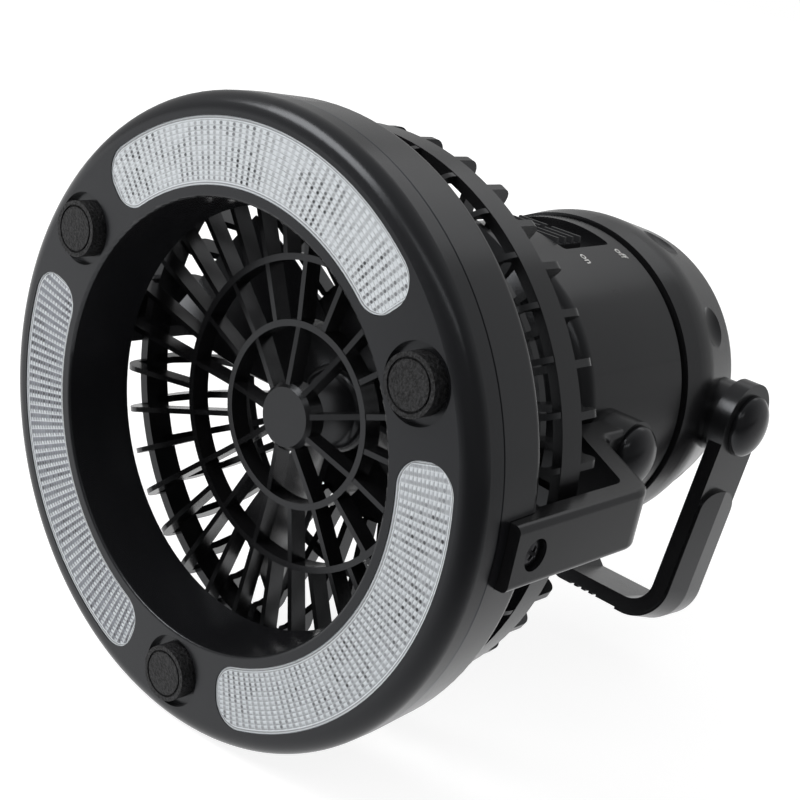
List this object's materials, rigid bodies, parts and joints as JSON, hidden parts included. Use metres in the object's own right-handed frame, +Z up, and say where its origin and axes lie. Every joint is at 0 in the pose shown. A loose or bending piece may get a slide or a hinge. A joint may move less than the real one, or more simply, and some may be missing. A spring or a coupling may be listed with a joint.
{
  "type": "portable camping fan with light ring",
  "caption": "Battery fan head tilting between two arms on a flat round light ring with rubber feet, with a barrel body, twist-off battery cap and swinging J-shaped hanging hook",
  "frame": {"origin": "Middle of the bounding box in plan, on the plane that touches the lowest point of the light ring.", "axes": "+X is the side that carries the hook, -Y is the way the fan blows and the light faces, +Z is up; the fan axis is level along Y, one ring radius above the origin."},
  "size_m": [0.1552, 0.169, 0.15],
  "materials": {
    "shell_plastic": "fine satin grain, black",
    "pin_plastic": "smooth, black",
    "lens_plastic": "clear, ribbed like a prism sheet",
    "rubber": "matt",
    "board": "white solder mask",
    "led": "clear epoxy, dull white inside",
    "steel": "blackened steel",
    "impeller_plastic": "satin, black",
    "motor_can": "plated steel",
    "contact_metal": "nickel plate",
    "cell_wrap": "plain printed sleeve, no marks",
    "knob_plastic": "satin, black",
    "switch_case": "moulded"
  },
  "bodies": {
    "light_ring": {"front_bezel": "shell_plastic", "ring_cover": "shell_plastic", "lens_upper": "lens_plastic", "lens_left": "lens_plastic", "lens_right": "lens_plastic", "led_board": "board", "leds": "led", "foot_right": "rubber", "foot_left": "rubber", "foot_bottom": "rubber", "arm_right": "shell_plastic", "arm_left": "shell_plastic", "arm_screws": "steel"},
    "head": {"front_grille": "shell_plastic", "rear_cage": "shell_plastic", "motor": "motor_can", "motor_screws": "steel", "barrel": "shell_plastic", "pivot_pin_right": "pin_plastic", "pivot_pin_left": "pin_plastic", "cell_right": "cell_wrap", "cell_left": "cell_wrap", "front_contacts": "contact_metal", "switch_bodies": "switch_case"},
    "impeller": {"impeller": "impeller_plastic", "motor_shaft": "steel"},
    "battery_cap": {"battery_cap": "shell_plastic", "cap_contact": "contact_metal", "hook_pin": "pin_plastic"},
    "hook": {"hook": "shell_plastic"},
    "light_switch": {"light_switch": "knob_plastic"},
    "fan_switch": {"fan_switch": "knob_plastic"}
  },
  "joints": [
    {"name": "head_tilt", "type": "hinge", "parent": "light_ring", "child": "head", "pos_m": [0, 0.0128, 0.075], "axis": [1, 0, 0], "range_deg": [-80, 90]},
    {"name": "impeller_spin", "type": "hinge", "parent": "head", "child": "impeller", "pos_m": [0, -0.037, 0.075], "axis": [0, 1, 0], "continuous": true},
    {"name": "cap_turn", "type": "hinge", "parent": "head", "child": "battery_cap", "pos_m": [0, 0.068, 0.075], "axis": [0, 1, 0], "range_deg": [0, 35]},
    {"name": "hook_swing", "type": "hinge", "parent": "battery_cap", "child": "hook", "pos_m": [0, 0.0722, 0.075], "axis": [1, 0, 0], "range_deg": [0, 204]},
    {"name": "light_switch_slide", "type": "slide", "parent": "head", "child": "light_switch", "axis": [0, 1, 0], "range_m": [0, 0.007]},
    {"name": "fan_switch_slide", "type": "slide", "parent": "head", "child": "fan_switch", "axis": [0, 1, 0], "range_m": [0, 0.007]}
  ]
}
